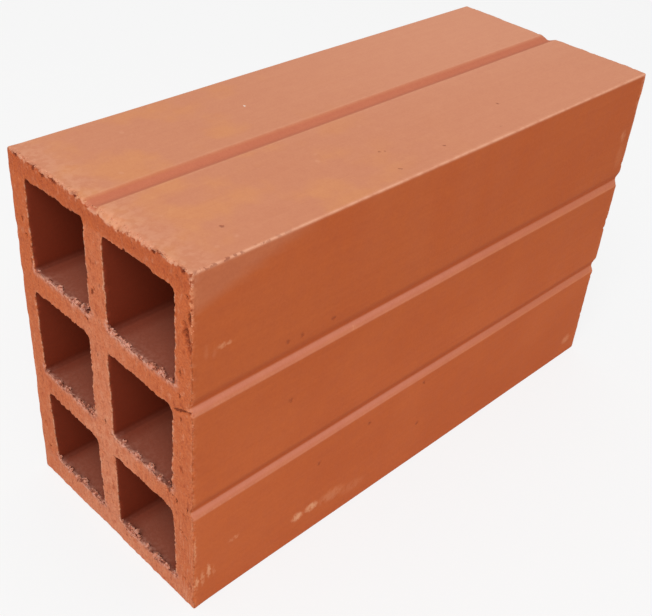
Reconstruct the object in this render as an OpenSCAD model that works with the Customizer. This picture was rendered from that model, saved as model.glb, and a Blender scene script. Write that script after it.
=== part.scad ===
// Hollow clay brick, extruded through a die and cut to length with a wire.
// Millimetres: X runs along the brick and its cells, Y across it and Z up.
// The origin is the centre of the bed face that the brick stands on.

/* [Brick] */
// Length between the two wire-cut ends
brick_length = 250; // [150:1:400]
// Width across the bed faces
brick_width = 100; // [80:1:200]
// Height between the bed faces
brick_height = 150; // [120:1:250]
// Radius of the four long outer edges
edge_radius = 1; // [0.5:0.1:3]

/* [Cells] */
// Number of cells side by side
cells_across = 2; // [2:1:3]
// Number of cells one above another
cells_up = 3; // [2:1:5]
// Thickness of the outer walls along the long sides
side_wall = 9; // [6:0.5:14]
// Thickness of the outer walls under the bed faces
bed_wall = 8.5; // [6:0.5:14]
// Thickness of the upright webs
upright_web = 10.5; // [6:0.5:14]
// Thickness of the level webs
level_web = 9.5; // [6:0.5:14]
// Radius of the corners of each cell
cell_radius = 2; // [1:0.5:6]

/* [Key grooves] */
// Width of a groove at its mouth
groove_width = 7.5; // [4:0.5:10]
// Width of the flat floor of a groove
groove_floor = 1.2; // [0.6:0.2:3]
// Depth of a groove
groove_depth = 1.3; // [0.5:0.1:2.5]

/* [Hidden] */
$fn = 64;

clay_colour = [0.76, 0.42, 0.27];
// How far a groove's cutter stands proud of the face that it cuts
cutter_lip = 1;

cell_width = (brick_width - 2 * side_wall - (cells_across - 1) * upright_web) / cells_across;
cell_height = (brick_height - 2 * bed_wall - (cells_up - 1) * level_web) / cells_up;
// The corner radius, held back where the cells are small
cell_corner = min(cell_radius, cell_width / 3, cell_height / 3);
cell_pitch_across = cell_width + upright_web;
cell_pitch_up = cell_height + level_web;

// Centre of cell number i of a column, or of a row, from the middle of the section
function cell_across(i) = (i - (cells_across - 1) / 2) * cell_pitch_across;
function cell_up(i) = (i - (cells_up - 1) / 2) * cell_pitch_up;

// Centre of the web between cells i - 1 and i
function upright_web_at(i) = cell_across(i) - cell_pitch_across / 2;
function level_web_at(i) = cell_up(i) - cell_pitch_up / 2;

// A rectangle about its centre, with true arcs at its corners
module rounded_rectangle(width, height, radius) {
    square([width - 2 * radius, height], center = true);
    square([width, height - 2 * radius], center = true);
    for (side = [-1, 1], level = [-1, 1])
        translate([side * (width / 2 - radius), level * (height / 2 - radius)])
            circle(r = radius);
}

// The grid of cells, open from end to end
module cells() {
    for (i = [0 : cells_across - 1], j = [0 : cells_up - 1])
        translate([cell_across(i), cell_up(j)])
            rounded_rectangle(cell_width, cell_height, cell_corner);
}

// One groove with sloping flanks, cut downwards into a face that lies along the first axis
module key_groove() {
    polygon([
        [-groove_width / 2, cutter_lip],
        [-groove_width / 2, 0],
        [-groove_floor / 2, -groove_depth],
        [groove_floor / 2, -groove_depth],
        [groove_width / 2, 0],
        [groove_width / 2, cutter_lip],
    ]);
}

// A groove opposite the end of every web, on all four long faces
module key_grooves() {
    for (turn = [0, 180]) {
        for (i = [1 : cells_across - 1])
            rotate(turn)
                translate([upright_web_at(i), brick_height / 2])
                    key_groove();
        for (j = [1 : cells_up - 1])
            rotate(turn)
                translate([brick_width / 2, level_web_at(j)])
                    rotate(-90)
                        key_groove();
    }
}

// The section that the die gives the clay, about its own centre
module brick_section() {
    difference() {
        rounded_rectangle(brick_width, brick_height, edge_radius);
        cells();
        key_grooves();
    }
}

module brick() {
    color(clay_colour)
        translate([0, 0, brick_height / 2])
            rotate([90, 0, 90])
                linear_extrude(height = brick_length, center = true)
                    brick_section();
}

brick();
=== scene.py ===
"""A hollow clay brick with fired skin and wire-cut ends, in a plain studio."""
import math

import bmesh
import bpy
import numpy as np
from mathutils import Euler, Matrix, Vector, kdtree, noise
from mathutils.geometry import delaunay_2d_cdt
from numpy.linalg import norm


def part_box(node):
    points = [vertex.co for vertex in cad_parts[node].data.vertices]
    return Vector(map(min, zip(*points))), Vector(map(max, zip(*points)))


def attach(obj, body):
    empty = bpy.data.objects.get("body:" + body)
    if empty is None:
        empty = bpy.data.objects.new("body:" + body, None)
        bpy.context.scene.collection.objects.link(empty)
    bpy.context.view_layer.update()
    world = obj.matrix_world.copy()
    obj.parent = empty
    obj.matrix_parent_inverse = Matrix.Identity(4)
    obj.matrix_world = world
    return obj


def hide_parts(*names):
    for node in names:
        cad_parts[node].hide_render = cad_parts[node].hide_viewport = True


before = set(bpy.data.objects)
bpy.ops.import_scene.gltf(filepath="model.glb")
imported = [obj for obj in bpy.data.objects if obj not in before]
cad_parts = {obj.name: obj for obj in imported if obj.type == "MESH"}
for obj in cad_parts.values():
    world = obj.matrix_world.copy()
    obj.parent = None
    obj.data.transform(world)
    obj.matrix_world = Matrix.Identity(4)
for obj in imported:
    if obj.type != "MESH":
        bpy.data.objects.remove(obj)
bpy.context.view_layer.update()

# Brick sizes are in millimetres, as in the part's source
MM = 0.001
BOX_LOW, BOX_HIGH = (np.array(corner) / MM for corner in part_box("brick"))
LENGTH, WIDTH, HEIGHT = BOX_HIGH - BOX_LOW
SIDE_WALL = 9.0
BED_WALL = 8.5
UPRIGHT_WEB = 10.5
LEVEL_WEB = 9.5
CELLS_ACROSS = 2
CELLS_UP = 3
CELL_RADIUS = 2.0
EDGE_RADIUS = 1.0
GROOVE_WIDTH = 7.5
GROOVE_FLOOR = 1.2
GROOVE_DEPTH = 1.3
GROOVE_LIP_RADIUS = 1.5
GROOVE_SOFT_RADIUS = 5.0
GROOVE_FLOOR_RADIUS = 2.0
GROOVE_SAG = 0.4

CELL_WIDTH = (WIDTH - 2 * SIDE_WALL - (CELLS_ACROSS - 1) * UPRIGHT_WEB) / CELLS_ACROSS
CELL_HEIGHT = (HEIGHT - 2 * BED_WALL - (CELLS_UP - 1) * LEVEL_WEB) / CELLS_UP

# Spacing of the mesh around the outlines, over the two cut ends and along the brick
OUTLINE_STEP = 0.5
CUT_STEPS = (0.7, 0.9)
SKIN_END_ROWS = ((0.0, 0.3, 0.7, 1.25, 2.0, 3.1, 4.8, 7.5, 11.0), (0.0, 0.5, 1.3, 3.0, 6.0, 11.0))
CELL_END_ROWS = ((0.0, 0.35, 0.8, 1.5, 2.6, 4.5, 8.0), (0.0, 0.5, 1.5, 4.0, 8.0))
SKIN_ROW_STEP = 7.0
CELL_ROW_STEP = 18.0
# The long middle of a wall keeps all points at its bends, and one in a stride elsewhere
BEND_LIMIT = 0.02
FLAT_STRIDE = 5

# Corners of a rectangle, anticlockwise from the low one
CORNERS = ((-1, -1), (1, -1), (1, 1), (-1, 1))
# How far the corners of each cell have drifted in drying, by column and level, in that order
CELL_DRIFT = {
    (0, 0): ((1.8, 0.2), (0.3, 1.5), (1.2, -1.7), (2.5, -2.7)),
    (1, 0): ((0.8, 1.9), (-2.5, 2.9), (-0.4, -0.5), (2.0, -0.9)),
    (0, 1): ((3.2, -2.5), (1.0, -0.8), (1.5, -1.0), (1.2, -1.5)),
    (1, 1): ((2.7, 0.0), (0.2, 1.4), (0.8, 0.8), (2.2, 0.6)),
    (0, 2): ((0.0, -0.5), (0.3, 0.1), (0.4, -0.3), (-0.9, -0.3)),
    (1, 2): ((0.5, 0.8), (-1.0, 1.3), (-1.0, 0.5), (0.3, 0.5)),
}
# The upper front corner of a cell, and its radius where it is worn
WORN_CORNER = (-1, 1)
WORN_RADIUS = {(0, 0): 3.0, (0, 1): 4.5, (1, 0): 3.5, (1, 1): 3.0}
# How far the upper groove lies off the middle
TOP_GROOVE_DRIFT = 1.2
# How far the upper back corner of the far end has risen in drying
CORNER_RISE = 0.7
# Share of the hidden grooves that is smeared shut at the near end, and its reach
SMEAR_SHARE = 0.8
SMEAR_REACH = 4.0
# The dip in the upper edge of the near end: place across, half width and depth
TOP_DIP = (-12.0, 8.0, 1.4)
# Wear of the far end's edges, as a share of the near end's
FAR_CELL_WEAR = 0.5
FAR_SKIN_WEAR = 0.2

# Seeds of the noise and of the random draws
SKIN_SEED = 3
CELL_SEED = 40
CELL_SEED_STEP = 20
FAR_SEED_STEP = 10
RELIEF_SEED = 30
CUT_SEED = 7
DAMAGE_SEED = 11

# Surface marks that the mesh carries for the material
MARKS = ("cut", "cell", "lip", "crumb", "arris", "dust", "film", "groove", "bite")
# Depth at which a bite is marked in full
BITE_MARK_DEPTH = 0.8
# Edges above this angle are shaded sharp
SHARP_ANGLE = math.radians(50)


def noise_at(points, size, seed=0.0):
    """Smooth noise of about -1 to 1 at points, with lumps of a size."""
    shift = Vector((17.3 * seed, -9.1 * seed, 5.7 * seed))
    return np.array([noise.noise(Vector(point) / size + shift) for point in points])


def held(values):
    """Values held between 0 and 1."""
    return np.clip(values, 0.0, 1.0)


def in_space(flat, x):
    """Points (y, z) of a section as points (x, y, z)."""
    return np.column_stack([np.broadcast_to(x, len(flat)), flat])


# Outlines of the section

def rounded_outline(corners):
    """A closed outline through rounded corners (y, z, radius)."""
    arcs = []
    for i, (y, z, radius) in enumerate(corners):
        here = np.array((y, z))
        before = np.array(corners[i - 1][:2]) - here
        after = np.array(corners[(i + 1) % len(corners)][:2]) - here
        before /= norm(before)
        after /= norm(after)
        half_angle = 0.5 * math.acos(np.clip(before @ after, -1.0, 1.0))
        reach = radius / math.tan(half_angle)
        steps = max(2, math.ceil(radius * (math.pi - 2 * half_angle) / OUTLINE_STEP))
        start, stop = here + before * reach, here + after * reach
        arcs.append([(1 - t) ** 2 * start + 2 * t * (1 - t) * here + t ** 2 * stop
                     for t in np.linspace(0.0, 1.0, steps + 1)])
    points = []
    for i, arc in enumerate(arcs):
        gap = arcs[(i + 1) % len(arcs)][0] - arc[-1]
        count = max(1, round(norm(gap) / OUTLINE_STEP))
        points += arc + [arc[-1] + gap * k / count for k in range(1, count)]
    return np.array(points)


def eased(normals, reach=6):
    """Normals that turn slowly around corners, so that worn ones don't cross themselves."""
    total = sum(np.roll(normals, shift, axis=0) for shift in range(-reach, reach + 1))
    return total / norm(total, axis=1)[:, None]


def bend_of(outline):
    """How sharply the outline turns at each point, above 0 at an outer corner."""
    normal = normals_of(outline)
    before, after = np.roll(normal, 1, axis=0), np.roll(normal, -1, axis=0)
    return before[:, 0] * after[:, 1] - before[:, 1] * after[:, 0]


def sparse_picks(outline):
    """Numbers of the points that the long middle of a wall keeps."""
    bent = np.abs(bend_of(outline)) > BEND_LIMIT
    bent |= np.roll(bent, 1) | np.roll(bent, -1)
    return np.flatnonzero(bent | (np.arange(len(outline)) % FLAT_STRIDE == 0))


def groove_corners(face_start, direction, inward, place):
    """The four corners of a groove at a place along a face."""
    # On an upright face the upper lip is soft and the floor sags
    sag = -direction[1] * GROOVE_SAG
    first = GROOVE_SOFT_RADIUS if direction[1] < 0 else GROOVE_LIP_RADIUS
    last = GROOVE_SOFT_RADIUS if direction[1] > 0 else GROOVE_LIP_RADIUS
    profile = (
        (-GROOVE_WIDTH / 2, 0.0, first),
        (sag - GROOVE_FLOOR / 2, GROOVE_DEPTH, GROOVE_FLOOR_RADIUS),
        (sag + GROOVE_FLOOR / 2, GROOVE_DEPTH, GROOVE_FLOOR_RADIUS),
        (GROOVE_WIDTH / 2, 0.0, last),
    )
    corners = []
    for across, depth, radius in profile:
        y, z = face_start + (place + across) * direction + depth * inward
        corners.append((y, z, radius))
    return corners


def skin_outline():
    """The outer outline, anticlockwise seen from +X, with its grooves."""
    level_pitch = CELL_HEIGHT + LEVEL_WEB
    levels = [(HEIGHT - level_pitch) / 2, (HEIGHT + level_pitch) / 2]
    faces = (
        ((-WIDTH / 2, 0.0), (1, 0), [WIDTH / 2]),
        ((WIDTH / 2, 0.0), (0, 1), levels),
        ((WIDTH / 2, HEIGHT), (-1, 0), [WIDTH / 2 - TOP_GROOVE_DRIFT]),
        ((-WIDTH / 2, HEIGHT), (0, -1), levels),
    )
    corners = []
    for start, direction, grooves in faces:
        direction = np.array(direction)
        inward = np.array((-direction[1], direction[0]))
        corners.append((*start, EDGE_RADIUS))
        for place in grooves:
            corners += groove_corners(np.array(start), direction, inward, place)
    return rounded_outline(corners)


def cell_outline(across, up):
    """The outline of one cell, anticlockwise seen from +X."""
    y = (across - (CELLS_ACROSS - 1) / 2) * (CELL_WIDTH + UPRIGHT_WEB)
    z = HEIGHT / 2 + (up - (CELLS_UP - 1) / 2) * (CELL_HEIGHT + LEVEL_WEB)
    corners = []
    for (side, level), (drift_y, drift_z) in zip(CORNERS, CELL_DRIFT[across, up]):
        worn = (side, level) == WORN_CORNER
        radius = WORN_RADIUS.get((across, up), CELL_RADIUS) if worn else CELL_RADIUS
        corners.append((y + side * CELL_WIDTH / 2 + drift_y, z + level * CELL_HEIGHT / 2 + drift_z, radius))
    return rounded_outline(corners)


def normals_of(outline):
    """Unit normals that point out of an anticlockwise outline."""
    tangent = np.roll(outline, -1, axis=0) - np.roll(outline, 1, axis=0)
    normal = np.column_stack([tangent[:, 1], -tangent[:, 0]])
    return normal / norm(normal, axis=1)[:, None]


def new_object(name, data):
    made = bpy.data.objects.new(name, data)
    bpy.context.collection.objects.link(made)
    return made


# The mesh as it is built up

class Body:
    """Points, faces and marks of one mesh."""

    def __init__(self):
        self.points, self.faces, self.count = [], [], 0
        self.marks = {name: [] for name in MARKS}

    def add(self, points, **marks):
        """Add points with their marks, and give back their numbers."""
        for name in MARKS:
            self.marks[name].append(np.broadcast_to(marks.get(name, 0.0), len(points)))
        self.points.append(points)
        self.count += len(points)
        return np.arange(self.count - len(points), self.count)

    def add_faces(self, faces, flip):
        self.faces += [tuple(reversed(face)) if flip else tuple(face) for face in faces]

    def strip(self, low, high, flip):
        """Join two rings of as many points, the first at the lower x."""
        self.add_faces(np.column_stack([low, np.roll(low, -1), np.roll(high, -1), high]).tolist(), flip)

    def thin_out(self, fine, sparse, picks, flip):
        """Join a fine ring to one that keeps only the picked points, by fans."""
        faces = []
        for i, here in enumerate(sparse):
            there, start = sparse[(i + 1) % len(sparse)], picks[i]
            count = (picks[(i + 1) % len(picks)] - start) % len(fine)
            edge = [fine[(start + k) % len(fine)] for k in range(count + 1)]
            if count == 1:
                faces.append((edge[0], edge[1], there, here))
                continue
            middle = count // 2
            faces += [(edge[k], edge[k + 1], here if k < middle else there) for k in range(count)]
            faces.append((here, edge[middle], there))
        self.add_faces(faces, flip)

    def damage(self, bites):
        """Carve bites out of all that is there, and mark them."""
        points = np.vstack(self.points)
        depths = carve(points, bites)
        self.points = [points]
        self.marks["bite"] = [held(depths / BITE_MARK_DEPTH)]

    def warp(self):
        """Raise the upper back edge towards the far end."""
        x, y, z = np.vstack(self.points).T
        rise = CORNER_RISE * (x / LENGTH + 0.5) * held(2 * y / WIDTH) * z / HEIGHT
        self.points = [np.column_stack([x, y, z + rise])]

    def search_tree(self):
        """All points so far, to look up the closest one to a place."""
        points = np.vstack(self.points)
        tree = kdtree.KDTree(len(points))
        for number, point in enumerate(points):
            tree.insert(point, number)
        tree.balance()
        return tree

    def to_mesh(self, name):
        mesh = bpy.data.meshes.new(name)
        mesh.from_pydata((np.vstack(self.points) * MM).tolist(), [], self.faces)
        for mark, parts in self.marks.items():
            layer = mesh.attributes.new(mark, "FLOAT", "POINT")
            layer.data.foreach_set("value", np.concatenate(parts).astype(np.float32))
        mesh.shade_smooth()
        mesh.set_sharp_from_angle(angle=SHARP_ANGLE)
        return mesh


# Relief of the clay

# Layers of relief on the skin and on a cut end: height, size and scale of the axes
SKIN_LAYERS = ((0.20, 55, (1, 1, 1)), (0.05, 4, (0.12, 1, 1)))
CUT_LAYERS = ((0.30, 22, (1, 1, 1)), (0.22, 5, (1, 1, 1)), (0.20, 1.9, (1, 1, 0.35)))
# Width and slope of the teeth of a torn edge
TOOTH_WIDTH = 0.55
TOOTH_SLOPE = 2.2
# How far in from a cut end its burrs and its torn surface reach
BURR_REACH = 1.3
CUT_REACH = 4
# Distance that keeps the noise of the two ends apart
ENDS_APART = 500
# Length and height of the dusty wedge
DUST_WEDGE = (58, 17)


def layered(points, layers, seed):
    """The sum of some layers of noise."""
    return sum(height * noise_at(points * np.array(scale), size, seed + number)
               for number, (height, size, scale) in enumerate(layers))


def skin_relief(points):
    """Slow waves and fine drag of the die-formed faces."""
    return layered(points, SKIN_LAYERS, 1)


def cut_relief(flat, seed):
    """Torn surface that the cutting wire leaves on an end."""
    return layered(in_space(flat, 0), CUT_LAYERS, seed)


def jagged(points, size, seed):
    """Noise with sharp teeth, 0 to about 1."""
    away = np.abs(noise_at(points, size, seed))
    return np.maximum(TOOTH_WIDTH - TOOTH_SLOPE * away, 0) / TOOTH_WIDTH


def peaks(points, size, seed, offset=0):
    """Smooth noise, raised by an offset and cut off below 0."""
    return np.maximum(noise_at(points, size, seed) + offset, 0)


def lip_wear(points, normals, seed, is_cell):
    """How far the edge of a cut end is chipped back, and how far a burr stands out."""
    uneven = np.clip(0.5 + 1.3 * noise_at(points, 6, seed + 7), 0.3, 1.2)
    teeth = uneven * (0.6 * jagged(points, 2.6, seed) + 0.4 * jagged(points, 1.3, seed + 1))
    losses = peaks(points, 7, seed + 2, -0.1)
    up = normals[:, 1]
    if is_cell:
        lower, upper = held(up * 1.6 - 0.5), held(-up * 1.6 - 0.5)
        scallops = upper * peaks(points, 3.3, seed + 8, 0.15)
        patches = held(noise_at(points, 9, seed + 3) + 0.55)
        tufts = 0.2 + peaks(points, 2.8, seed + 4, 0.1) + 0.3 * peaks(points, 1.3, seed + 5)
        spikes = 0.35 * peaks(points, 1.2, seed + 6, -0.15)
        chip = 0.08 + 1.15 * teeth + 0.7 * losses + 0.7 * scallops
        return chip, spikes + 1.8 * lower * patches * tufts
    top, front = held(up), held(-normals[:, 0])
    share = 0.2 + 0.9 * top + 0.3 * front
    waves = peaks(points, 13, seed + 8, 0.15)
    place, half_width, depth = TOP_DIP
    dip = depth * np.exp(-((points[:, 1] - place) / half_width) ** 2) * (points[:, 0] < 0)
    chip = 0.15 + share * (1.3 * teeth + 1.8 * losses) + top * (1.6 * waves + dip)
    return chip, 0.5 * top * peaks(points, 2.8, seed + 4)


def insets(flat):
    """How far points of the section lie in from the sides and from the bed faces."""
    return WIDTH / 2 - np.abs(flat[:, 0]), HEIGHT / 2 - np.abs(flat[:, 1] - HEIGHT / 2)


def smeared(flat):
    """How far the near ends of the back and bottom grooves are smeared shut."""
    # Just past the floor of a groove
    reach = 1.01 * GROOVE_DEPTH
    hidden = (flat[:, 0] > WIDTH / 2 - reach) | (flat[:, 1] < reach)
    return SMEAR_SHARE * np.minimum(*insets(flat)) * hidden


def ring_points(flat, normals, depth, end, seed, is_cell):
    """Points of a ring near an end: the cut edge at depth 0, or the wall behind it."""
    shared = in_space(flat, end * (LENGTH / 2 - depth))
    chip, burr = lip_wear(in_space(flat, end * ENDS_APART), normals, seed, is_cell)
    if end > 0:
        wear = FAR_CELL_WEAR if is_cell else FAR_SKIN_WEAR
        chip, burr = wear * chip, wear * burr
    chip_left = chip * np.maximum(1 - depth / (0.3 + 0.8 * chip), 0) ** 1.3
    burr_left = burr * math.exp(-(depth / BURR_REACH) ** 2)
    out = skin_relief(shared) - chip_left + burr_left
    if end < 0 and not is_cell:
        out += smeared(flat) * math.exp(-(depth / SMEAR_REACH) ** 2)
    moved = flat + normals * out[:, None]
    near = max(1 - depth / CUT_REACH, 0)
    torn = cut_relief(moved, RELIEF_SEED + end) * near + 0.35 * burr_left
    return in_space(moved, end * (LENGTH / 2 - depth + torn))


def wall_marks(outline, normals, is_cell):
    """Marks that run the whole length of the skin or of a cell."""
    up = normals[:, 1]
    if is_cell:
        y = outline[:, 0]
        from_wall = np.minimum(y - y.min(), y.max() - y)
        # In a cell, the upward mark picks out the floor, which is painted lighter as light, and the groove
        # mark its corners, painted as shade
        return {"film": held((up - 0.3) / 0.5) * np.clip(from_wall / 8, 0.5, 1),
                "groove": held(4 * np.abs(normals[:, 0] * up))}
    from_side, from_bed = insets(outline)
    at_corner = np.maximum(from_side, from_bed) < 3
    # Painted highlight along the upper rounded edges, and a faint one on the lips of the grooves
    slanted = 2 * np.abs(normals[:, 0] * up) * (up > 0)
    lips = 0.15 * held(bend_of(outline) / 0.12) * (up > 0.1)
    # The mark of upward faces grows as a face turns up; the material paints these faces paler, partly a real
    # pale film and partly painted sheen
    return {"film": np.interp(up, (0, 0.25, 0.9, 0.99), (0, 0.35, 0.4, 1)),
            "groove": held(np.minimum(from_side, from_bed) / (0.6 * GROOVE_DEPTH)),
            "arris": np.where(at_corner, slanted, lips)}


def dust_at(points):
    """Greyish dust of the front side: a wedge at its near corner, and smears."""
    x, y, z = points.T
    front = held(-WIDTH / 2 + 1.2 - y)
    length, height = DUST_WEDGE
    wedge = held((1 - (x + LENGTH / 2) / length - (HEIGHT - z) / height) * 4)
    streaks = held(noise_at(points * np.array((1, 0, 0.06)), 9, 12) * 1.6 + 0.1)
    smears = streaks * np.exp(-((x + 5) / 38) ** 2) * held((z - 96) / 30)
    return front * np.maximum(wedge, 0.4 * smears)


def end_ring(body, outline, normals, marks, depth, end, seed, is_cell):
    """One ring of points near an end, with its marks."""
    points = ring_points(outline, normals, depth, end, seed, is_cell)
    up = normals[:, 1]
    if is_cell:
        fading = 0.8 * math.exp(-(depth / BURR_REACH) ** 2) + 0.25 * math.exp(-depth / 4)
        crumb = marks["film"] * fading
        # Pale lips, weaker on those that face down: partly wear and partly painted highlight
        lip = (depth == 0) * np.where(up < -0.3, 0.2, 1)
    else:
        crumb = 0
        ridge = (outline[:, 0] < 1.5 - WIDTH / 2) * np.clip((outline[:, 1] - HEIGHT + 24) / 8, 0.35, 1)
        # Pale, stronger where the edge faces up: partly wear and partly painted highlight
        edge = math.exp(-depth / 0.45) * (0.2 + 0.8 * held(up))
        lip = np.maximum(edge, math.exp(-depth) * ridge)
    return body.add(points, cut=float(depth == 0), cell=float(is_cell and depth > 0),
                    lip=lip, crumb=crumb, dust=dust_at(points), **marks)


def wall(body, outline, is_cell, seed):
    """The skin or one cell from end to end. Gives back the rings at the two cut edges."""
    normals = normals_of(outline) * (-1 if is_cell else 1)
    marks = wall_marks(outline, normals, is_cell)
    near_rows, far_rows = CELL_END_ROWS if is_cell else SKIN_END_ROWS
    row_step = CELL_ROW_STEP if is_cell else SKIN_ROW_STEP
    worn = eased(normals)
    near = [end_ring(body, outline, worn, marks, depth, -1, seed, is_cell) for depth in near_rows]
    far = [end_ring(body, outline, worn, marks, depth, 1, seed + FAR_SEED_STEP, is_cell)
           for depth in reversed(far_rows)]
    picks = sparse_picks(outline)
    sparse_marks = {name: values[picks] for name, values in marks.items()}
    reach = LENGTH / 2 - near_rows[-1]
    middle = []
    for x in np.linspace(-reach, reach, round(2 * reach / row_step) + 1)[1:-1]:
        points = in_space(outline[picks], x)
        moved = outline[picks] + normals[picks] * skin_relief(points)[:, None]
        middle.append(body.add(in_space(moved, x), cell=float(is_cell), dust=dust_at(points), **sparse_marks))
    for rings in (near, middle, far):
        for low, high in zip(rings, rings[1:]):
            body.strip(low, high, flip=is_cell)
    body.thin_out(near[-1], middle[0], picks, flip=is_cell)
    body.thin_out(far[0], middle[-1], picks, flip=not is_cell)
    return near[0], far[-1]


# Parts in which distances are worked out, to save memory
DISTANCE_PARTS = 40
# Shake of a cut end's points, and their gap to its edges, in steps of the mesh
CUT_SHAKE = 0.18
CUT_GAP = 0.55


def inside(points, outline):
    """Which points lie inside a closed outline."""
    here, there = outline, np.roll(outline, -1, axis=0)
    y, z = points[:, :1], points[:, 1:]
    crosses = (here[:, 1] > z) != (there[:, 1] > z)
    rise = np.where(there[:, 1] == here[:, 1], 1, there[:, 1] - here[:, 1])
    at = here[:, 0] + (z - here[:, 1]) / rise * (there[:, 0] - here[:, 0])
    return (crosses & (y < at)).sum(axis=1) % 2 == 1


def in_clay(points, loops):
    """Which points lie inside the first outline, the skin, and outside the cells."""
    hit = [inside(points, loop) for loop in loops]
    return hit[0] & ~np.any(hit[1:], axis=0)


def distance_to(points, others):
    """The distance from each point to the closest of some others."""
    return np.concatenate([np.min(norm(part[:, None] - others[None], axis=2), axis=1)
                           for part in np.array_split(points, DISTANCE_PARTS)])


def cut_end(body, rings, end, step, seed):
    """A wire-cut end between the edge rings of the skin and of the cells."""
    every = np.vstack(body.points)
    loops = [every[ring][:, 1:] for ring in rings]
    grid_z = np.arange(step, HEIGHT, step * math.sqrt(0.75))
    grid_y = np.arange(-WIDTH / 2 + step, WIDTH / 2, step)
    y, z = np.meshgrid(grid_y, grid_z)
    y[1::2] += step / 2
    rng = np.random.default_rng(seed)
    inner = np.column_stack([y.ravel(), z.ravel()])
    inner += rng.uniform(-CUT_SHAKE, CUT_SHAKE, inner.shape) * step
    inner = inner[in_clay(inner, loops)]
    edge = np.vstack(loops)
    to_edge = distance_to(inner, edge)
    clear = to_edge > CUT_GAP * step
    inner, to_edge = inner[clear], to_edge[clear]
    lower_lips = np.vstack([loop[loop[:, 1] < loop[:, 1].min() + 3] for loop in loops[1:]])
    crumb = np.exp(-(distance_to(inner, lower_lips) / 1.5) ** 2)
    torn = in_space(inner, end * (LENGTH / 2 + cut_relief(inner, RELIEF_SEED + end)))
    added = body.add(torn, cut=1, lip=0.4 * np.exp(-to_edge / 0.5), crumb=crumb)
    numbers = np.concatenate([*rings, added])
    flat = np.vstack([edge, inner])
    borders, start = [], 0
    for loop in loops:
        borders += [(start + i, start + (i + 1) % len(loop)) for i in range(len(loop))]
        start += len(loop)
    triangles = np.array(delaunay_2d_cdt([Vector(point) for point in flat], borders, [], 0, 1e-5)[2])
    middles = flat[triangles].mean(axis=1)
    body.add_faces(numbers[triangles[in_clay(middles, loops)]].tolist(), flip=end < 0)


# Damage: hollows bitten out of the clay

def bite(x, y, z, sizes, depth):
    """One hollow that bites to a depth at a place on the brick: its centre, half sizes and way in."""
    spot = np.array((x, y, z))
    from_middle = spot - (0, 0, HEIGHT / 2)
    to_faces = np.abs(np.abs(from_middle) - np.array((LENGTH, WIDTH, HEIGHT)) / 2)
    outward = np.sign(from_middle) * (to_faces < 0.01)
    outward /= norm(outward)
    reach = 1 / norm(outward / np.array(sizes))
    return spot + outward * (reach - depth), np.array(sizes), -outward


# Torn slots of the near end: place across and up, half width and half height
END_SLOTS = (
    (44.8, 124.3, 0.7, 0.9), (42.9, 118.5, 0.5, 0.9), (2.9, 115.6, 0.5, 1.4), (2, 117.3, 0.35, 0.8),
    (41.9, 107.9, 0.4, 1.3), (-43.7, 109.8, 0.5, 1.4), (7.9, 101.6, 1.4, 0.6), (-43.4, 100.4, 0.4, 0.9),
    (-44, 90.7, 0.4, 0.6), (-48.2, 141, 0.5, 0.9), (-49, 134.1, 0.6, 2.2), (1.3, 58.4, 0.5, 1.3),
    (-3.1, 54.4, 1.3, 0.45), (-36.2, 52.2, 0.8, 0.8), (-38.4, 51.6, 1, 0.35), (-40.9, 50.6, 0.4, 1.1),
    (-46.8, 50.6, 0.4, 0.9), (-43.1, 37.2, 1, 0.5), (44.7, 15.3, 0.6, 0.6), (-0.25, 17.5, 0.4, 0.9),
    (-39.9, 10.3, 0.5, 0.7), (-10.9, 6.9, 0.7, 0.5), (45.2, 149, 1.6, 0.5), (34, 149.2, 0.8, 1.5),
    (28, 148.5, 2, 0.5), (22, 149, 2.5, 0.8), (9.7, 149.3, 1, 1.3), (-18, 149, 2, 0.5),
    (-32, 148.7, 1, 0.5), (-46, 149, 1, 0.5),
)
# The hollow beside its front corner, in the same terms
END_HOLLOW = (
    (-46.9, 126.6, 0.9, 2.2), (-47.9, 124.6, 1.2, 2.4), (-49.2, 122.4, 1.2, 2.4), (-49.4, 133, 0.6, 3),
)
# The crack from the middle cell to the upper side groove: places across, and heights there
CRACK_ACROSS = (-49.6, -40.3)
CRACK_HEIGHT = (96.6, 92.9)
CRACK_STEP = 0.5
# Chips of the near end's upper edge: place across, radius and depth
TOP_CHIPS = (
    (46, 2.2, 1.3), (34, 1.8, 1.2), (27.5, 1.6, 0.9), (10, 1.9, 1.3),
    (-16, 3.5, 1), (-34, 2.4, 0.9), (-46, 1.8, 0.7),
)
# Chips of its front corner: height, radius, half height and depth
CORNER_CHIPS = ((133, 1.6, 2.2, 0.7), (97.5, 2, 2, 0.7), (60, 2.4, 4, 0.5), (22, 2.2, 3, 0.6))
# Bites that make the hollow: place across and up, half width, half height and depth
HOLLOW_BITES = (
    (-46.6, 130, 1.1, 2.2, 1), (-47.3, 126.6, 1.7, 3, 1.7),
    (-48, 123, 1.6, 2.8, 1.6), (-48.8, 120, 1, 2, 1),
)


def near_damage():
    """Chips, slots, the hollow and the crack of the near end."""
    end, side = -LENGTH / 2, -WIDTH / 2
    bites = [bite(end, y, HEIGHT, (radius, 1.4 * radius, radius), depth) for y, radius, depth in TOP_CHIPS]
    bites += [bite(end, side, z, (radius, radius, tall), depth) for z, radius, tall, depth in CORNER_CHIPS]
    bites += [bite(end, y, z, (2.2, wide, tall), depth) for y, z, wide, tall, depth in HOLLOW_BITES]
    bites += [bite(end, y, z, (1.3, wide, tall), 1) for y, z, wide, tall in END_SLOTS]
    for y in np.arange(*CRACK_ACROSS, CRACK_STEP):
        z = np.interp(y, CRACK_ACROSS, CRACK_HEIGHT)
        bites.append(bite(end, y, z, (1, 0.7, 0.5), 0.8))
    return bites


# Numbers of random notches, chips and pits
TOP_NOTCHES = 22
RANDOM_CHIPS = 26
RANDOM_GOUGES = 110


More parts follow.
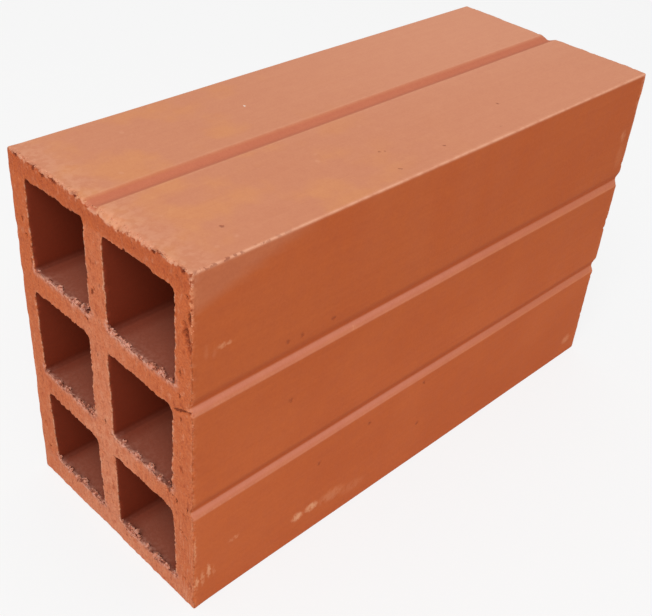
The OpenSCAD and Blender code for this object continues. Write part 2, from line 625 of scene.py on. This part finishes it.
def random_damage(rng):
    """Small chips along the edges of both ends, and short pits torn out of them."""
    bites = []
    for _ in range(TOP_NOTCHES):
        y, wide = rng.uniform(-0.48, 0.48) * WIDTH, rng.uniform(0.6, 1.7)
        bites.append(bite(-LENGTH / 2, y, HEIGHT, (1.2, wide, 1.2), rng.uniform(0.5, 0.9)))
    for _ in range(RANDOM_CHIPS):
        radius = rng.uniform(0.9, 2)
        end = rng.choice((-1, 1)) * LENGTH / 2
        place = rng.uniform(0, 2 * (WIDTH + HEIGHT))
        if place < 2 * WIDTH:
            y, z = place % WIDTH - WIDTH / 2, HEIGHT * (place > WIDTH)
        else:
            y, z = WIDTH / 2 * rng.choice((-1, 1)), (place - 2 * WIDTH) % HEIGHT
        if end < 0 and (z == 0 or y == WIDTH / 2):
            continue
        bites.append(bite(end, y, z, (radius,) * 3, radius * rng.uniform(0.3, 0.5)))
    for _ in range(RANDOM_GOUGES):
        end = rng.choice((-1, 1)) * LENGTH / 2
        y, z = rng.uniform(-0.48, 0.48) * WIDTH, rng.uniform(0.02, 0.98) * HEIGHT
        radius = rng.uniform(0.55, 1)
        tall = radius * rng.uniform(1, 2.2)
        bites.append(bite(end, y, z, (radius, radius, tall), radius * rng.uniform(0.5, 0.9)))
    return bites


def carve(points, bites):
    """Push points in a hollow straight in, to its floor, and give back how far."""
    depths = np.zeros(len(points))
    for i, (centre, sizes, inward) in enumerate(bites):
        close = np.flatnonzero((np.abs(points - centre) < 1.5 * sizes).all(axis=1))
        arm, way = (points[close] - centre) / sizes, inward / sizes
        edge = 1 + 0.3 * noise_at(points[close], 1.6, i)
        inside_it = norm(arm, axis=1) < edge
        arm, edge = arm[inside_it], edge[inside_it]
        along, square = arm @ way, way @ way
        push = (np.sqrt(along ** 2 - square * ((arm ** 2).sum(axis=1) - edge ** 2)) - along) / square
        points[close[inside_it]] += push[:, None] * inward
        depths[close[inside_it]] += push
    return depths


# Clumps of crumbs on the lower lip of each cell, by column and level
NEAR_CLUMPS = {(0, 0): 15, (0, 1): 6, (0, 2): 16, (1, 0): 14, (1, 1): 14, (1, 2): 12}
FAR_CLUMPS = 6
# Larger clumps of the near end: column, level, place across, spread, height, size and number of crumbs
BIG_CLUMPS = (
    (0, 0, -12.4, 1, 1.1, 0.85, 40), (0, 0, -15.2, 0.9, 0.9, 0.75, 30), (0, 0, -21, 1.5, 0.3, 0.5, 20),
    (0, 0, -27.7, 1.6, 0.9, 0.65, 44), (0, 0, -33.4, 1.5, 0.5, 0.55, 24), (0, 1, -25.6, 0.4, 1.4, 0.65, 24),
    (0, 1, -31.8, 1.5, 0.5, 0.55, 26), (0, 1, -17, 1.8, 0.3, 0.5, 22), (0, 1, -10, 1.6, 0.3, 0.45, 18),
    (0, 2, -8, 1.4, 0.4, 0.5, 20), (0, 2, -16, 1.4, 0.5, 0.5, 20), (0, 2, -28.4, 2.4, 0.6, 0.6, 44),
    (0, 2, -34, 2, 0.5, 0.55, 34), (1, 0, 30.4, 1.4, 0.4, 0.5, 24), (1, 0, 25.5, 1.6, 0.3, 0.5, 20),
    (1, 0, 21, 1.2, 0.7, 0.6, 30), (1, 0, 14, 1.6, 0.4, 0.5, 22), (1, 0, 8.5, 0.8, 0.5, 0.5, 14),
    (1, 1, 31, 1.6, 0.4, 0.5, 20), (1, 1, 26, 2, 0.6, 0.55, 30), (1, 1, 18, 1.8, 0.5, 0.5, 26),
    (1, 1, 11, 1.6, 0.4, 0.5, 20), (1, 2, 24.5, 2.4, 0.4, 0.5, 34), (1, 2, 13, 1.6, 0.4, 0.5, 20),
    (1, 2, 8.6, 0.9, 0.9, 0.65, 26),
)
# Size of the other crumbs, and numbers of edge flakes
SMALL_CRUMB = 0.4
TOP_FLAKES = 150
CORNER_FLAKES = 110


def unit_ball():
    """Points and faces of a coarse ball."""
    ball = bmesh.new()
    bmesh.ops.create_icosphere(ball, subdivisions=1, radius=1)
    points = np.array([vertex.co[:] for vertex in ball.verts])
    faces = np.array([[vertex.index for vertex in face.verts] for face in ball.faces])
    ball.free()
    return points, faces


BALL_POINTS, BALL_FACES = unit_ball()


def add_shard(body, spot, sizes, rng, **marks):
    """One angular crumb."""
    turn = np.array(Euler(rng.uniform(0, 2 * math.pi, 3)).to_matrix())
    shard = BALL_POINTS * rng.uniform(0.5, 1.25, (len(BALL_POINTS), 1)) * sizes
    numbers = body.add(shard @ turn + spot, **marks)
    body.add_faces(numbers[BALL_FACES].tolist(), flip=False)


def grow_clump(body, root, lean, size, count, rng):
    """Crumbs that grow from a root on the clay, each one stuck to an earlier one."""
    spots = [np.array(root)]
    for _ in range(count):
        step = rng.normal(0, 1, 3) * lean
        step[2] = abs(step[2])
        spot = spots[rng.integers(len(spots))] + size * step / norm(step)
        add_shard(body, spot, size * rng.uniform(0.4, 1.8, 3), rng, crumb=1, cut=1)
        spots.append(spot)


def lip_crumbs(body, clay, rng):
    """Clumps of crumbs on the lower lip of every cell, at both ends."""
    for (across, up), near_count in NEAR_CLUMPS.items():
        outline = cell_outline(across, up)
        low = outline[outline[:, 1] < np.median(outline[:, 1]) - 0.4 * CELL_HEIGHT]
        for end, count in ((-1, near_count), (1, FAR_CLUMPS)):
            for _ in range(count):
                y, z = low[rng.integers(len(low))]
                root = clay.find((end * (LENGTH / 2 - rng.uniform(0, 1)), y, z))[0]
                grow_clump(body, root, (0.5, 1.2, 0.4), SMALL_CRUMB, rng.integers(3, 9), rng)
    for across, up, middle, spread, tall, size, count in BIG_CLUMPS:
        outline = cell_outline(across, up)
        low = outline[outline[:, 1] < outline[:, 1].mean()]
        floor = low[np.argmin(np.abs(low[:, 0] - middle)), 1]
        root = clay.find((0.4 - LENGTH / 2, middle, floor))[0]
        grow_clump(body, root, (0.5, spread, tall), size, count, rng)


def edge_flakes(body, clay, rng):
    """Flakes of skin along the near end's upper edge and down its front corner."""
    for _ in range(TOP_FLAKES):
        spot = clay.find((-LENGTH / 2 + rng.uniform(0.1, 0.8), rng.uniform(-0.49, 0.49) * WIDTH, HEIGHT))[0]
        add_shard(body, np.array(spot), rng.uniform(0.15, 0.45, 3), rng, lip=0.8, film=0.9)
    for _ in range(CORNER_FLAKES):
        at_top = rng.random() < 0.55
        height = HEIGHT - (22 * rng.random() ** 1.3 if at_top else 140 * rng.random())
        spot = clay.find((-LENGTH / 2 + rng.uniform(0.1, 0.6), -WIDTH / 2, height))[0]
        lip = 1 if at_top else 0.4
        add_shard(body, np.array(spot), rng.uniform(0.15, 0.4, 3), rng, lip=lip, film=0.2)


def make_brick():
    rng = np.random.default_rng(DAMAGE_SEED)
    body = Body()
    edges = [wall(body, skin_outline(), False, SKIN_SEED)]
    for across in range(CELLS_ACROSS):
        for up in range(CELLS_UP):
            seed = CELL_SEED + CELL_SEED_STEP * (across + CELLS_ACROSS * up)
            edges.append(wall(body, cell_outline(across, up), True, seed))
    for end, side in ((-1, 0), (1, 1)):
        cut_end(body, [pair[side] for pair in edges], end, CUT_STEPS[side], CUT_SEED + side)
    body.damage(near_damage() + random_damage(rng))
    body.warp()
    clay = body.search_tree()
    lip_crumbs(body, clay, rng)
    edge_flakes(body, clay, rng)
    return new_object("fired_brick", body.to_mesh("fired_brick"))


# Materials

def srgb(*parts):
    """A colour given as it looks on screen, 0 to 255, for a shader."""
    shares = [part / 255 for part in parts]
    linear = [share / 12.92 if share <= 0.04045 else ((share + 0.055) / 1.055) ** 2.4 for share in shares]
    return (*linear, 1.0)


def grey(value):
    return (value, value, value, 1.0)


class Shade:
    """Calls that add nodes to a material or a world, and give back their outputs."""

    def __init__(self, tree):
        self.tree = tree
        self.place = None

    def add(self, kind, parts=None, **settings):
        made = self.tree.nodes.new("ShaderNode" + kind)
        for name, value in settings.items():
            setattr(made, name, value)
        self.feed(made, parts or {})
        return made

    def feed(self, node, parts):
        """Link inputs of a node, each by its name or number, or set plain values."""
        for key, part in parts.items():
            if isinstance(part, bpy.types.NodeSocket):
                self.tree.links.new(part, node.inputs[key])
            else:
                node.inputs[key].default_value = part

    def locate(self):
        """Use object coordinates, in millimetres, for all textures."""
        place = self.add("TexCoord").outputs["Object"]
        self.place = self.vector("SCALE", place, scale=1.0 / MM)

    def vector(self, operation, first, second=(0.0, 0.0, 0.0), scale=1.0):
        made = self.add("VectorMath", {0: first, 1: second, 3: scale}, operation=operation)
        return made.outputs["Value" if operation in ("DISTANCE", "LENGTH") else "Vector"]

    def maths(self, operation, first, second=0.0):
        return self.add("Math", {0: first, 1: second}, operation=operation).outputs[0]

    def join(self, operation, values):
        """One value from several, taken two at a time."""
        first, *others = values
        for other in others:
            first = self.maths(operation, first, other)
        return first

    def times(self, *values):
        return self.join("MULTIPLY", values)

    def mark(self, name):
        """A mark that the mesh carries, 0 to 1."""
        return self.add("Attribute", attribute_name=name).outputs["Fac"]

    def noise(self, size, detail=2.0, stretch=None):
        """Noise of about 0 to 1 with lumps of a size, stretched along the axes."""
        place = self.vector("MULTIPLY", self.place, stretch) if stretch else self.place
        return self.add("TexNoise", {"Vector": place, "Scale": 1.0 / size, "Detail": detail}).outputs["Fac"]

    def spots(self, spacing, radius):
        """Scattered round spots, 1 inside and 0 outside."""
        made = self.add("TexVoronoi", {"Vector": self.place, "Scale": 1.0 / spacing})
        return self.span(made.outputs["Distance"], radius / spacing, 0.5 * radius / spacing)

    def span(self, value, low, high, to_low=0.0, to_high=1.0):
        """Ease a value from one range into another."""
        parts = dict(enumerate((value, low, high, to_low, to_high)))
        return self.add("MapRange", parts, interpolation_type="SMOOTHSTEP").outputs["Result"]

    def split(self, vector):
        """The three parts of a vector."""
        return self.add("SeparateXYZ", {0: vector}).outputs[:]

    def closest(self, place, points):
        """The distance to the closest of some points."""
        return self.join("MINIMUM", [self.vector("DISTANCE", place, point) for point in points])

    def blend(self, share, first, second, mode="MIX"):
        """Mix two colours."""
        parts = {"Factor": share, 6: first, 7: second}
        return self.add("Mix", parts, data_type="RGBA", blend_type=mode).outputs[2]

    def coat(self, colour, *layers):
        """Lay colours over a first one, each by its share."""
        for share, layer in layers:
            colour = self.blend(share, colour, layer)
        return colour

    def grained(self, share, colour, value, low, high):
        """Darken and lighten a colour softly by a value, between two greys."""
        return self.blend(share, colour, self.blend(value, grey(low), grey(high)), "SOFT_LIGHT")

    def mix(self, share, first, second):
        """Mix two shaders."""
        return self.add("MixShader", {0: share, 1: first, 2: second}).outputs[0]

    def seen(self):
        """1 for what the camera sees, also in a mirror or through glass, else 0."""
        path = self.add("LightPath")
        rays = ("Is Camera Ray", "Is Glossy Ray", "Is Transmission Ray")
        return self.join("MAXIMUM", [path.outputs[ray] for ray in rays])


def new_material(name):
    """A material, the calls that add nodes to it, and its main shader."""
    material = bpy.data.materials.new(name)
    material.use_nodes = True
    return material, Shade(material.node_tree), material.node_tree.nodes["Principled BSDF"]


# Colours of the clay
SKIN = srgb(184, 91, 46)
# Painted light: the sides grow lighter towards the bottom, where less light reaches them
SKIN_LOW_LIT = srgb(193, 97, 51)
# A darker skin: random tone, and painted shade on the groove flanks that face down
SKIN_TONE_AND_SHADE = srgb(180, 83, 39)
SKIN_FOOT = srgb(192, 95, 50)
# Upward faces of the grooves, and high up near the near end: painted light from above, with some dust
GROOVE_DUST_AND_LIGHT = srgb(196, 114, 84)
GROOVE_NEAR_DUST_AND_LIGHT = srgb(206, 127, 102)
# The upper face: paler than the sides, partly a real pale film and partly painted sheen
BED_NEAR = srgb(207, 136, 103)
BED_FAR = srgb(216, 147, 115)
BED_FRONT = srgb(204, 130, 96)
BED_YELLOW = srgb(214, 142, 96)
CUT_ORANGE = srgb(198, 100, 54)
CUT_PINK = srgb(215, 133, 97)
CUT_DEEP = srgb(160, 66, 34)
# A dark red, used among others for painted shade in hollows, notches, pits and nicks
BITE_DEEP = srgb(128, 52, 28)
# Inside the cells: painted shade on the walls and in the corners, and painted light on the floors
CELL_WALL_SHADE = srgb(128, 47, 23)
CELL_CORNER_SHADE = srgb(100, 36, 19)
CELL_FLOOR_LIT = srgb(153, 81, 60)
# Pale lips and edges, partly worn and partly painted highlight; also pale grains, nodules and scratches
LIP_PALE = srgb(228, 166, 134)
# Painted highlight along the upper front edge
ARRIS_HIGHLIGHT = srgb(231, 154, 112)
CRUMB_PINK = srgb(222, 162, 141)
# Painted shade between the crumbs
CRUMB_SHADE = srgb(134, 68, 50)
SCUFF_PALE = srgb(230, 164, 122)
DUST_GREY = srgb(188, 109, 74)
PIT_DARK = srgb(100, 38, 20)
# Painted shade in the torn slots, the hollow and the crack
TORN_SHADE = srgb(112, 43, 23)
SPECK_WHITE = srgb(240, 225, 212)

# Small marks on the upper face (x, y) and on the front side (x, z)
TOP_PITS = ((-24, -30), (-22.4, -31.2), (-28, -43.5), (-1.4, -41), (45, -30), (29, -44), (-101, -35))
TOP_SPECK = (-38.1, 26.9)
SIDE_NICKS = (
    (-84.1, 105.9), (-77.3, 105.3), (-62.3, 105.4), (-80.9, 78.1),
    (-34.9, 40.5), (-62.9, 35.8), (-2.2, 21.5), (-2, 44),
)
# Where those marks fade out and where they are full
PIT_RADII = (0.8, 0.2)
NICK_RADII = (1.4, 0.25)
SPECK_RADII = (0.6, 0.35)
# Pale scuffs of the front side: x, z, half width, half height and strength
SIDE_SCUFFS = (
    (-73, 13, 3.8, 3, 1), (-65.3, 13.3, 4.6, 3, 1), (-53.7, 12.6, 10, 4.5, 0.3),
    (-41.4, 9.5, 10, 4, 0.15), (-123.6, 13.5, 1.2, 5, 0.8), (-120.9, 14.5, 1.2, 5.5, 0.5),
    (-118, 16.5, 1.2, 5.5, 0.8), (-115.6, 15, 0.9, 4, 0.3), (-124.2, 32, 0.8, 9, 0.6),
    (-106.3, 25.2, 3.4, 1.6, 0.5), (-111.7, 118.5, 4.4, 1.2, 0.45), (-119.3, 119, 1.4, 4, 0.1),
    (-116, 117, 1.2, 3, 0.1), (-51, 96.4, 1.5, 1.5, 0.5), (118.6, 122, 3, 4, 0.3),
    (120, 112, 4, 9, 0.12), (115.5, 10, 4.5, 3.5, 0.4),
)
# How far inwards a torn mark of the near end is painted
TORN_REACH = 8
# Where the crack fades out and where it is full, from its middle
CRACK_HALF = (0.45, 0.12)


def bed_colour(clay, along, across):
    """The upper face: paler to the far end and the back, yellowish at the near end."""
    near = clay.span(along, 30, -70)
    patches = clay.span(clay.noise(20, 3), 0.46, 0.68)
    scraped = clay.span(clay.noise(2.6, 3), 0.4, 0.6)
    nodules = clay.times(clay.spots(7, 1.2), clay.span(clay.noise(11), 0.52, 0.6))
    return clay.coat(
        BED_NEAR,
        (clay.span(along, -80, 110), BED_FAR),
        (clay.span(across, 15, -25, 0, 0.35), BED_FRONT),
        (clay.times(patches, near, 0.75), BED_YELLOW),
        (clay.times(clay.span(along, -108, -123), scraped, 0.3), LIP_PALE),
        (clay.times(nodules, near, 0.25), LIP_PALE))


def cell_colour(clay):
    """A cell: walls darkened by painted shade, a floor lightened by painted light, and painted shade in the
    corners.
    """
    corners = clay.times(clay.mark("groove"), 0.7)
    return clay.coat(CELL_WALL_SHADE, (clay.mark("film"), CELL_FLOOR_LIT), (corners, CELL_CORNER_SHADE))


def pink_share(clay, across, height, mottle, crest):
    """How pink a cut end is: most so low down and on the middle web."""
    low = clay.times(clay.span(height, 140, 20), clay.span(across, -46, -34, 0.5, 1))
    foot = clay.span(height, 16, 3)
    middle = clay.span(clay.maths("ABSOLUTE", across), 34, 0)
    middle = clay.times(middle, clay.span(height, 140, 60, 0.3, 0.68))
    pink = clay.join("ADD", (clay.times(low, 0.45), clay.times(foot, 0.4), middle))
    pink = clay.times(pink, clay.span(mottle, 0.2, 0.75, 0.4, 1.1))
    pink = clay.maths("SUBTRACT", clay.maths("MINIMUM", pink, 1), crest)
    return clay.maths("MAXIMUM", pink, 0)


def cut_colour(clay, across, height, mottle, grain):
    """A cut end: orange and pink, with grains, fissures and scratches."""
    # The top band of the cut end, for painted shade
    crest = clay.span(height, 140, 145)
    coarse = clay.noise(2.2, 4, (1, 1, 0.6))
    fissures = clay.span(clay.noise(1.1, 1, (1, 1, 0.3)), 0.32, 0.22, 0, 0.4)
    pits = clay.times(clay.spots(1.5, 0.5), clay.span(clay.noise(3), 0.45, 0.6))
    colour = clay.coat(
        CUT_ORANGE,
        (pink_share(clay, across, height, mottle, crest), CUT_PINK),
        # Painted shade along the top band
        (clay.times(crest, 0.25), CUT_DEEP),
        (clay.span(coarse, 0.56, 0.72, 0, 0.2), LIP_PALE),
        (clay.span(coarse, 0.44, 0.28, 0, 0.5), CUT_DEEP),
        (clay.times(fissures, clay.span(mottle, 0.5, 0.6)), PIT_DARK),
        (clay.times(pits, 0.3), BITE_DEEP))
    colour = clay.grained(0.4, colour, grain, 0, 1)
    scratched = clay.times(clay.span(across, -39, -43), clay.span(height, 60, 20))
    scratches = clay.span(clay.noise(0.6, 1, (1, 1, 0.06)), 0.58, 0.68, 0, 0.3)
    colour = clay.blend(clay.times(scratched, scratches), colour, LIP_PALE)
    drawn = clay.noise(0.9, 2, (1, 1, 0.12))
    return clay.grained(clay.span(height, 120, 40, 0.12, 0.4), colour, drawn, 0.1, 0.9)


def shaken(clay, size, reach):
    """Places on the brick, shaken so that marks there have rough outlines."""
    wobble = clay.add("TexNoise", {"Vector": clay.place, "Scale": 1 / size}).outputs["Color"]
    shift = clay.vector("SUBTRACT", wobble, (0.5, 0.5, 0.5))
    return clay.vector("ADD", clay.place, clay.vector("SCALE", shift, scale=reach))


def ovals(clay, place, shapes):
    """Soft ovals, each one given by its centre, half sizes and strength."""
    made = []
    for centre, halves, strength in shapes:
        away = clay.vector("SUBTRACT", place, centre)
        away = clay.vector("MULTIPLY", away, [1 / half for half in halves])
        made.append(clay.span(clay.vector("LENGTH", away), 1, 0.3, 0, strength))
    return clay.join("MAXIMUM", made)


def hand_marks(clay):
    """Masks of the pits and nicks, the pale scuffs and the white speck."""
    place, side = shaken(clay, 1.4, 2.4), -WIDTH / 2
    pits = clay.span(clay.closest(place, [(x, y, HEIGHT) for x, y in TOP_PITS]), *PIT_RADII)
    nicks = clay.span(clay.closest(place, [(x, side, z) for x, z in SIDE_NICKS]), *NICK_RADII)
    dark = clay.times(clay.maths("ADD", pits, nicks), 0.5)
    shapes = [((x, side, z), (wide, 1, tall), strength) for x, z, wide, tall, strength in SIDE_SCUFFS]
    patchy = clay.span(clay.noise(2.2, 3, (1, 1, 0.5)), 0.26, 0.48)
    scuffs = clay.times(ovals(clay, place, shapes), patchy)
    speck = clay.span(clay.closest(place, [(*TOP_SPECK, HEIGHT)]), *SPECK_RADII)
    return dark, scuffs, speck


def torn_marks(clay, along):
    """A mask of the slots, the hollow and the crack of the near end, for their painted shade."""
    place, end = shaken(clay, 0.9, 1.2), -LENGTH / 2
    shapes = [((end, y, z), (TORN_REACH, 1.2 * wide, 1.2 * tall), 1) for y, z, wide, tall in END_SLOTS]
    shapes += [((end, y, z), (TORN_REACH, 1.4 * wide, 1.2 * tall), 0.7) for y, z, wide, tall in END_HOLLOW]
    _, y, z = clay.split(place)
    to_crack = clay.maths("SUBTRACT", z, clay.span(y, *CRACK_ACROSS, *CRACK_HEIGHT))
    crack = clay.span(clay.maths("ABSOLUTE", to_crack), *CRACK_HALF)
    crack = clay.times(crack, clay.span(y, CRACK_ACROSS[1] + 0.5, CRACK_ACROSS[1] - 0.5))
    crack = clay.times(crack, clay.span(along, 0, -100, 0, 0.9))
    return clay.times(clay.maths("MAXIMUM", ovals(clay, place, shapes), crack), clay.mark("cut"))


def skin_colour(clay, place, mottle, drag, pale):
    """The die-formed skin: dust, a pale film with painted sheen on what faces up, painted light and shade in
    the grooves, and painted highlights and chewed specks on the edges.
    """
    along, across, height = place
    film, groove, arris = (clay.mark(name) for name in ("film", "groove", "arris"))
    # Groove flanks that do not face up, for painted shade
    shaded = clay.times(groove, clay.maths("SUBTRACT", 1, clay.times(film, 3)))
    near_groove = clay.times(clay.span(along, 80, -40), clay.span(height, 140, 120))
    # Upward faces in the grooves, and high up near the near end, for painted light with some dust
    lit_dusty_flanks = clay.times(film, clay.maths("MAXIMUM", clay.times(groove, 2), near_groove))
    # How strong the painted highlight on the edges is: patchy, and stronger high up
    worn = clay.times(clay.span(mottle, 0.25, 0.6, 0.55, 0.95), clay.span(height, 90, 105, 0.5, 1))
    chewed = clay.times(clay.span(along, -70, -112), clay.span(clay.noise(1.7), 0.5, 0.42))
    chewed = clay.times(chewed, clay.span(across, -47, -49, 0, 0.65))
    colour = clay.coat(
        SKIN,
        # Painted light, lighter towards the bottom
        (clay.span(height, 115, 35), SKIN_LOW_LIT),
        (clay.span(clay.noise(38), 0.35, 0.65, 0, 0.3), SKIN_TONE_AND_SHADE),
        # Painted shade on the groove flanks that face down
        (clay.times(clay.maths("MAXIMUM", shaded, 0), 0.8), SKIN_TONE_AND_SHADE),
        (clay.span(height, 6, 1), SKIN_FOOT),
        # Upward faces: a real pale film and painted sheen
        (film, bed_colour(clay, along, across)),
        # Painted light with some dust on those upward faces
        (lit_dusty_flanks, clay.blend(near_groove, GROOVE_DUST_AND_LIGHT, GROOVE_NEAR_DUST_AND_LIGHT)),
        (clay.times(clay.mark("dust"), 0.7), DUST_GREY),
        # Painted highlight along the upper edges
        (clay.times(arris, worn), pale),
        (clay.times(arris, chewed), BITE_DEEP))
    colour = clay.grained(0.1, colour, drag, 0.2, 0.85)
    return clay.grained(0.14, colour, mottle, 0.1, 0.9)


def torn_colour(clay, colour, grain, torn, pale):
    """Add the lips, bites, torn marks and crumbs of the cut ends to a colour."""
    flecks = clay.noise(1.5, 3)
    lip, bitten, crumb = (clay.mark(name) for name in ("lip", "bite", "crumb"))
    colour = clay.coat(
        colour,
        # Pale flecks on the lips, partly wear and partly painted highlight; dark flecks, painted shade in
        # their notches
        (clay.times(lip, clay.span(flecks, 0.42, 0.58, 0, 0.8)), pale),
        (clay.times(lip, clay.span(flecks, 0.42, 0.32, 0, 0.8)), BITE_DEEP),
        # Painted shade in the carved hollows, with their darker broken clay
        (clay.times(bitten, clay.span(grain, 0.25, 0.65, 0.85, 0.35)), BITE_DEEP),
        # Painted shade in the torn slots, the hollow and the crack
        (clay.times(torn, 0.75), TORN_SHADE),
        (clay.times(crumb, clay.span(flecks, 0.46, 0.6, 0.4, 0.95)), CRUMB_PINK),
        # Painted shade in the gaps between crumbs
        (clay.times(crumb, clay.span(flecks, 0.48, 0.36, 0, 0.9)), CRUMB_SHADE))
    return clay.grained(0.16, colour, grain, 0.1, 0.9)


# Height of the fine relief that is only shaded
BUMP_HEIGHT = 0.5


def clay_material():
    material, clay, shader = new_material("fired_clay")
    clay.locate()
    place = clay.split(clay.place)
    along, across, height = place
    grain = clay.noise(0.8, 3)
    mottle = clay.noise(4, 3)
    drag = clay.noise(1.3, 2, (0.03, 1, 1))
    dark, scuffs, speck = hand_marks(clay)
    torn = torn_marks(clay, along)
    # Pale colour of the lips and edges, which along the upper front edge is that of the painted highlight
    front_corner = clay.times(clay.span(across, -47, -49), clay.span(height, 147, 144))
    pale = clay.blend(front_corner, LIP_PALE, ARRIS_HIGHLIGHT)

    colour = clay.coat(
        skin_colour(clay, place, mottle, drag, pale),
        (clay.times(scuffs, 0.85), SCUFF_PALE),
        # Painted shade in the pits and nicks
        (dark, BITE_DEEP),
        (speck, SPECK_WHITE),
        (clay.mark("cell"), cell_colour(clay)),
        (clay.mark("cut"), cut_colour(clay, across, height, mottle, grain)))

    # Fine relief: rougher on the cut ends
    rough = clay.maths("ADD", clay.mark("cut"), 0.12)
    relief = clay.maths("ADD", clay.times(grain, rough), clay.times(drag, 0.12))
    relief = clay.maths("SUBTRACT", relief, clay.times(clay.maths("MAXIMUM", dark, torn), 0.8))
    bump = clay.add("Bump", {"Height": relief, "Distance": BUMP_HEIGHT * MM, "Strength": 1})
    clay.feed(shader, {
        "Base Color": torn_colour(clay, colour, grain, torn, pale),
        "Normal": bump.outputs["Normal"],
        "Roughness": clay.span(mottle, 0.3, 0.7, 0.8, 0.94),
        "Specular IOR Level": 0.2,
    })
    return material


# Studio, in metres

FLOOR_GREY = grey(0.8)
FLOOR_WHITE_SHARE = 0.77
FLOOR_HALF = 4.0
WORLD_STRENGTH = 0.62
BACKDROP_STRENGTH = 0.93
LAMP_PLACE = (-1.0, -0.75, 1.4)
LAMP_AIM = (0.0, 0.0, 0.07)
LAMP_SIZE = 1.2
LAMP_WATTS = 17.0
CAMERA_LENS = 55.07
CAMERA_SHIFT = (0.0215, 0.0174)
CAMERA_PLACE = (-0.27202, -0.23665, 0.30903)
CAMERA_ANGLES = (53.811, -3.635, -44.13)


def floor_material():
    """A floor that looks nearly white and keeps the shadow."""
    material, floor, shader = new_material("pale_floor")
    floor.feed(shader, {"Base Color": FLOOR_GREY, "Roughness": 1.0, "Specular IOR Level": 0.0})
    glow = floor.add("Emission", {"Strength": 1.0})
    white_share = floor.times(floor.seen(), FLOOR_WHITE_SHARE)
    mixed = floor.mix(white_share, shader.outputs[0], glow.outputs[0])
    floor.feed(floor.tree.nodes["Material Output"], {"Surface": mixed})
    return material


def make_floor():
    mesh = bpy.data.meshes.new("floor")
    corners = [(x * FLOOR_HALF, y * FLOOR_HALF, 0.0) for x, y in CORNERS]
    mesh.from_pydata(corners, [], [(0, 1, 2, 3)])
    mesh.materials.append(floor_material())
    floor = new_object("floor", mesh)


def make_world():
    """Even light all around, and a pale backdrop where the camera looks."""
    world = bpy.data.worlds.new("studio")
    bpy.context.scene.world = world
    world.use_nodes = True
    sky = Shade(world.node_tree)
    light = sky.tree.nodes["Background"]
    sky.feed(light, {"Color": grey(1.0), "Strength": WORLD_STRENGTH})
    backdrop = sky.add("Background", {"Color": grey(1.0), "Strength": BACKDROP_STRENGTH})
    mixed = sky.mix(sky.seen(), light.outputs[0], backdrop.outputs[0])
    sky.feed(sky.tree.nodes["World Output"], {"Surface": mixed})


def make_lamp():
    """One large soft lamp above the camera's side."""
    light = bpy.data.lights.new("soft_lamp", "AREA")
    light.shape = "DISK"
    light.size = LAMP_SIZE
    light.energy = LAMP_WATTS
    lamp = new_object("soft_lamp", light)
    lamp.location = LAMP_PLACE
    lamp.rotation_euler = (Vector(LAMP_AIM) - Vector(LAMP_PLACE)).to_track_quat("-Z", "Y").to_euler()


def make_camera():
    data = bpy.data.cameras.new("camera")
    data.lens = CAMERA_LENS
    data.shift_x, data.shift_y = CAMERA_SHIFT
    camera = new_object("camera", data)
    camera.location = CAMERA_PLACE
    camera.rotation_euler = [math.radians(angle) for angle in CAMERA_ANGLES]
    bpy.context.scene.camera = camera


brick = make_brick()
brick.data.materials.append(clay_material())
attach(brick, "root")
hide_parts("brick")

make_floor()
make_world()
make_lamp()
make_camera()
bpy.context.scene.view_settings.view_transform = "Standard"
